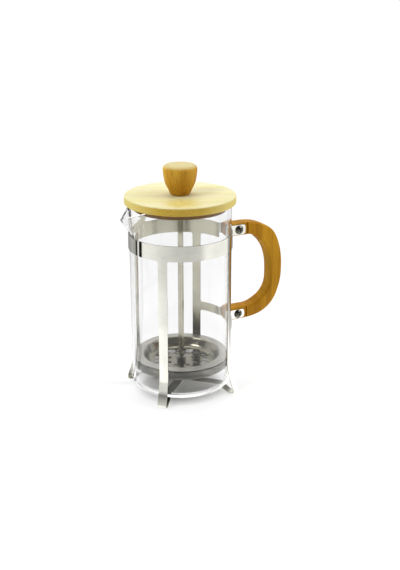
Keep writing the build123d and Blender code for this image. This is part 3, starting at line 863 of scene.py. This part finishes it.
def handle():
    """The bamboo grip, a rounded section swept along its stations, with slightly crowned cheeks."""
    verts, rows = [], []
    for inner, outer, half, edge in handle_stations():
        a, b = Vector(inner), Vector(outer)
        width = (b - a).length
        across = (b - a).normalized()
        ring = rounded([(0, -half), (width, -half), (width, half), (0, half)], [edge] * 4, 6, closed=True)
        row = []
        for t, y in ring:
            crown = 0.25 * (1 - (2 * t / width - 1) ** 2) if edge == EDGE_R else 0
            p = a + across * t
            row.append(len(verts))
            verts.append((p.x, y * (half - 0.25 + crown) / half if edge == EDGE_R else y, p.y))
        rows.append(row)
    faces = join_rows(rows, wrap=True) + [rows[0][::-1], rows[-1]]
    return piece("handle_grip", verts, faces, MATERIALS["handle"], "cage", ["handle"], 40)


# ---- lid --------------------------------------------------------------------------------
LID_EDGE = 1.3
LID_BORE = 3.2


def board(low, high, radius, corners, segments):
    """A round board with a bore, its lower outer, upper outer and upper inner corners rounded."""
    outline = [(LID_BORE, low), (radius, low), (radius, high), (LID_BORE, high), (LID_BORE, low)]
    return lathe(rounded(outline, [0, *corners, 0], 6), segments)


def lid():
    """The pale lid board and the step glued under it, coloured darker as painted shade."""
    verts, faces = board(LID_LOW.z, LID_HIGH.z, LID_HIGH.x, (0.8, LID_EDGE, 0.3), 192)
    piece("lid_board", verts, faces, MATERIALS["lid"], "lid", ["lid_disc"], 40)
    verts, faces = board(PLUG_LOW.z, PLUG_HIGH.z, PLUG_HIGH.x, (0.8, 0.1, 0.1), 160)
    piece("lid_step", verts, faces, MATERIALS["plug"], "lid", ["lid_plug"], 40)


# ---- plunger ----------------------------------------------------------------------------
def smooth_curve(points, steps=6):
    """A Catmull-Rom curve through a few (a, b) points."""
    padded = [Vector(p) for p in [points[0], *points, points[-1]]]
    out = []
    for p0, p1, p2, p3 in zip(padded, padded[1:], padded[2:], padded[3:]):
        for k in range(steps):
            t = k / steps
            bend = 2 * p0 - 5 * p1 + 4 * p2 - p3
            twist = 3 * p1 - p0 - 3 * p2 + p3
            out.append(tuple(0.5 * ((2 * p1) + (p2 - p0) * t + bend * t * t + twist * t * t * t)))
    return out + [tuple(points[-1])]


def knob():
    """The turned knob, with a shallow recess in its foot for the threaded insert."""
    low, top = KNOB_LOW.z, KNOB_HIGH.z
    side = smooth_curve([
        (7.1, low), (7.85, low + 0.45), (8.6, low + 2.0), (9.7, low + 4.4), (12.0, low + 9.2),
        (13.15, low + 14), (13.7, low + 18.6), (13.75, low + 20.8), (13.2, low + 22.6), (11.6, low + 23.8),
    ])
    profile = [(3.6, low + 2), (3.6, low), (5.5, low)] + side + [(8.5, top - 0.3), (4, top - 0.05), (0, top)]
    verts, faces = lathe([(0, low + 2)] + profile, 128)
    piece("knob_turned", verts, faces, MATERIALS["knob"], "plunger", ["knob"], 50)


SPRING_WIRE, SPRING_TURNS, SPRING_STEPS = 0.3, 104, 10      # wire radius, turns, points in a turn


def rim_spring():
    """The fine coil spring under the pressure plate's rim, bent into a ring."""
    half = (SPRING_HIGH.z - SPRING_LOW.z) / 2
    ring_r = SPRING_HIGH.x - half
    height = (SPRING_HIGH.z + SPRING_LOW.z) / 2
    turn_r = half - SPRING_WIRE
    points = []
    for i in range(SPRING_TURNS * SPRING_STEPS):
        a = TURN * i / (SPRING_TURNS * SPRING_STEPS)
        b = TURN * i / SPRING_STEPS
        r = ring_r + turn_r * math.cos(b)
        points.append(Vector((r * math.cos(a), r * math.sin(a), height + turn_r * math.sin(b))))
    verts, faces = tube(points, SPRING_WIRE, 6, closed=True)
    piece("rim_spring_coil", verts, faces, MATERIALS["spring"], "plunger", ["rim_spring"], 80)


CLOTH_WIRE, CLOTH_PITCH = 0.13, 0.95        # wire radius, and the step from wire to wire
CLOTH_WAVE = CLOTH_WIRE * 0.8
CLOTH_CORNER = 0.9
SKIRT_R = MESH_HIGH.x - 2 * CLOTH_WIRE
SKIRT_LOW = MESH_LOW.z + CLOTH_CORNER
SKIRT_WIRES, SKIRT_HOOPS = 252, 7


def skirt_wires():
    """The upright wires of the turned-up edge, each waving in and out between the hoops."""
    parts = []
    for i in range(SKIRT_WIRES):
        a = TURN * i / SKIRT_WIRES
        out = Vector((math.cos(a), math.sin(a), 0))
        wave = CLOTH_WAVE * (1 if i % 2 else -1)
        foot = out * (SKIRT_R - CLOTH_CORNER * 0.35) + Vector((0, 0, MESH_LOW.z + CLOTH_WIRE + 0.15))
        points = [foot]
        for k in range(SKIRT_HOOPS + 1):
            z = SKIRT_LOW + (MESH_HIGH.z - SKIRT_LOW) * k / SKIRT_HOOPS
            points.append(out * (SKIRT_R + wave * (1 if k % 2 else -1)) + Vector((0, 0, z)))
        parts.append(tube(points, CLOTH_WIRE, 4))
    return parts


def skirt_hoops():
    """The level wires of the turned-up edge."""
    parts = []
    for k in range(SKIRT_HOOPS):
        z = SKIRT_LOW + (MESH_HIGH.z - SKIRT_LOW) * (k + 0.5) / SKIRT_HOOPS
        points = []
        for i in range(SKIRT_WIRES * 2):
            a = TURN * i / (SKIRT_WIRES * 2)
            sign = 0 if i % 2 else (1 if (i // 2 + k) % 2 else -1)
            r = SKIRT_R + CLOTH_WAVE * sign
            points.append(Vector((r * math.cos(a), r * math.sin(a), z)))
        parts.append(tube(points, CLOTH_WIRE, 4, closed=True))
    return parts


def floor_wires():
    """The crossed wires of the flat floor."""
    reach = SKIRT_R - 0.3
    floor_z = MESH_LOW.z + 2.2 * CLOTH_WIRE
    lines = int(reach / CLOTH_PITCH)
    parts = []
    for axis in (0, 1):
        for i in range(-lines, lines + 1):
            offset = i * CLOTH_PITCH
            end = math.sqrt(max(reach * reach - offset * offset, 0))
            steps = max(2, int(2 * end / CLOTH_PITCH))
            points = []
            for k in range(steps + 1):
                along = -end + 2 * end * k / steps
                lift = CLOTH_WAVE * (1 if (k + i + axis) % 2 else -1)
                xy = (along, offset) if axis == 0 else (offset, along)
                points.append(Vector((*xy, floor_z + lift)))
            parts.append(tube(points, CLOTH_WIRE, 4))
    return parts


def woven_screen():
    """Woven wire cloth: a flat floor of crossed wires, turned up at the edge into a skirt."""
    verts, faces = merged(skirt_wires() + skirt_hoops() + floor_wires())
    piece("mesh_cloth", verts, faces, MATERIALS["wire"], "plunger", ["mesh_screen"], 80)


def paint_cad_nodes():
    """CAD nodes whose shape is right stay, with better materials."""
    chosen = {
        "plunger_rod": "rod", "lock_nut": "fastener", "pressure_plate": "dish", "cross_plate": "filter",
        "hub_nut": "fastener", "knob_insert": "brass", "lid_eyelet": "fastener", "eyelet_washer": "fastener",
        "upper_clamp_screw": "screw", "lower_clamp_screw": "screw",
        "upper_cap_nut": "screw", "lower_cap_nut": "screw",
    }
    for node, material in chosen.items():
        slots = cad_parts[node].material_slots
        for s in slots:
            s.material = MATERIALS[material]


# ---- studio -----------------------------------------------------------------------------
LAMP_TARGET = Vector((0, 0, 0.1))       # the middle of the pot, in metres


def area_lamp(name, place, size, power):
    """A square soft lamp that points at the pot."""
    data = bpy.data.lights.new(name, "AREA")
    data.shape = "SQUARE"
    data.size = size
    data.energy = power
    lamp = bpy.data.objects.new(name, data)
    lamp.location = place
    lamp.rotation_euler = (LAMP_TARGET - Vector(place)).to_track_quat("-Z", "Y").to_euler()
    bpy.context.scene.collection.objects.link(lamp)


def white_table():
    """A matt white table top, a little lit from below as a photographer's light table is; the glow stops
    under the pot, which paints a shadow there.
    """
    n = Nodes("table_white")
    grain = n.noise(n.place(), 30, 2)
    base = n.ramp(grain, [(0.4, grey(0.46)), (0.6, grey(0.47))])
    away = n.add("VectorMath", {0: n.place()}, operation="LENGTH").outputs["Value"]
    # Painted shadow: no glow under the pot, so the table is darker there.
    glow_past_painted_shadow = n.add("MapRange", {0: away, 1: 0.026, 2: 0.041, 3: 0.0, 4: 0.48}).outputs[0]
    far = n.add("MapRange", {0: away, 1: 0.4, 2: 1.6, 3: 0.0, 4: 0.25}).outputs[0]
    glow = n.math("ADD", glow_past_painted_shadow, far)
    return n.surface({
        "Base Color": base,
        "Roughness": 0.7,
        "Emission Color": (1, 1, 1, 1),
        "Emission Strength": glow,
    })


def toward_camera():
    """The level direction from the object to the camera, and the one to the camera's right."""
    back = Vector((math.sin(VIEW_AZIMUTH), -math.cos(VIEW_AZIMUTH), 0))
    return back, Vector((-back.y, back.x, 0))


# Painted reflection: what the rolled steel mirrors of the table: (degrees to the right of the camera's side,
# level).
TABLE_LEVELS = [
    (-180, 0.3), (-150, 0.36), (-125, 0.62), (-111, 0.5), (-108.4, 0.0), (-102.9, 0.0), (-102.3, 1.35),
    (-97.6, 1.35), (-97, 0.0), (-88, 0.0), (-87.2, 1.32), (-55, 1.25), (-33, 1.0), (-8, 0.88), (30, 0.88),
    (43, 0.95), (56, 1.38), (119, 1.4), (127, 0.5), (150, 0.4), (180, 0.38),
]
ROOM_BRIGHT, ROOM_DIM = 1.05, 0.12
TABLE_MID, TABLE_WIDE = 0.1, 0.38           # between these it fades from bright to plain


def table_sheen():
    """Painted reflection for polished steel: a disc on the table that glows only for reflections, bright at
    the sides and striped dark as if by a studio's flags.
    """
    back, right = toward_camera()
    n = Nodes("table_sheen")
    spot = n.add("TexCoord").outputs["Object"]
    ahead = n.add("VectorMath", {0: spot, 1: tuple(back)}, operation="DOT_PRODUCT").outputs["Value"]
    aside = n.add("VectorMath", {0: spot, 1: tuple(right)}, operation="DOT_PRODUCT").outputs["Value"]
    around = n.math("MULTIPLY_ADD", n.math("ARCTAN2", aside, ahead), 1 / TURN, 0.5)
    level = n.ramp(around, [(angle / 360 + 0.5, grey(v)) for angle, v in TABLE_LEVELS])
    away = n.add("VectorMath", {0: spot}, operation="LENGTH").outputs["Value"]
    wide = n.add("MapRange", {0: away, 1: TABLE_MID, 2: TABLE_WIDE, 3: 1.65, 4: 1.0}).outputs[0]
    glow = n.add("Emission", {0: level, 1: wide})
    n.tree.links.new(glow.outputs[0], n.output.inputs[0])
    mesh = bpy.data.meshes.new("table_sheen")
    verts, faces = lathe([(0, 0), (3000, 0)], 96)
    mesh.from_pydata([tuple(c * MM for c in v) for v in verts], [], faces)
    mesh.materials.append(n.material)
    sheen = bpy.data.objects.new("table_sheen", mesh)
    sheen.location.z = 0.0002
    bpy.context.scene.collection.objects.link(sheen)
    sheen.visible_camera = False
    sheen.visible_diffuse = False
    sheen.visible_shadow = False
    sheen.visible_transmission = False


def studio_walls():
    """A white room behind the object and, in reflections and light, a dim one behind the camera."""
    world = bpy.data.worlds.new("world")
    world.use_nodes = True
    bpy.context.scene.world = world
    n = world.node_tree.nodes
    links = world.node_tree.links

    def chain(kind, operation, a, b):
        node = n.new(kind)
        node.operation = operation
        for socket, value in zip(node.inputs, (a, b)):
            if isinstance(value, bpy.types.NodeSocket):
                links.new(value, socket)
            else:
                socket.default_value = value
        return node

    def span(source, start, end, low=0.0, high=1.0):
        node = n.new("ShaderNodeMapRange")
        for socket, value in zip(node.inputs[1:5], (start, end, low, high)):
            socket.default_value = value
        links.new(source, node.inputs[0])
        return node.outputs[0]

    sky = n.new("ShaderNodeTexCoord").outputs["Generated"]
    facing = chain("ShaderNodeVectorMath", "DOT_PRODUCT", sky, toward_camera()[0]).outputs["Value"]
    height = n.new("ShaderNodeSeparateXYZ")
    links.new(sky, height.inputs[0])
    dim = chain("ShaderNodeMath", "MULTIPLY", span(facing, -0.15, 0.35), span(height.outputs[2], 0.0, 0.16))
    path = n.new("ShaderNodeLightPath").outputs
    bounced = chain("ShaderNodeMath", "ADD", path["Diffuse Depth"], path["Glossy Depth"]).outputs[0]
    seen = chain("ShaderNodeMath", "GREATER_THAN", bounced, 0.5).outputs[0]
    shade = chain("ShaderNodeMath", "MULTIPLY", dim.outputs[0], seen).outputs[0]
    links.new(span(shade, 0, 1, ROOM_BRIGHT, ROOM_DIM), n["Background"].inputs["Strength"])
    n["Background"].inputs[0].default_value = (1, 1, 1, 1)


def table():
    """The table top that the pot stands on."""
    mesh = bpy.data.meshes.new("floor")
    reach = 3.0
    corners = [(-reach, -reach, 0), (reach, -reach, 0), (reach, reach, 0), (-reach, reach, 0)]
    mesh.from_pydata(corners, [], [(0, 1, 2, 3)])
    mesh.materials.append(white_table())
    floor = bpy.data.objects.new("floor", mesh)
    bpy.context.scene.collection.objects.link(floor)


def studio():
    """The room, the table and three soft lamps."""
    bpy.context.scene.view_settings.view_transform = "Standard"
    studio_walls()
    table()
    table_sheen()
    area_lamp("key", (-0.85, 0.0, 1.0), 0.5, 6.8)
    area_lamp("fill", (0.85, -0.4, 0.9), 0.5, 5.5)
    area_lamp("top", (0.1, 0.3, 1.2), 0.6, 3)


make_camera()
studio()
beaker()
cage()
handle()
lid()
knob()
rim_spring()
woven_screen()
paint_cad_nodes()
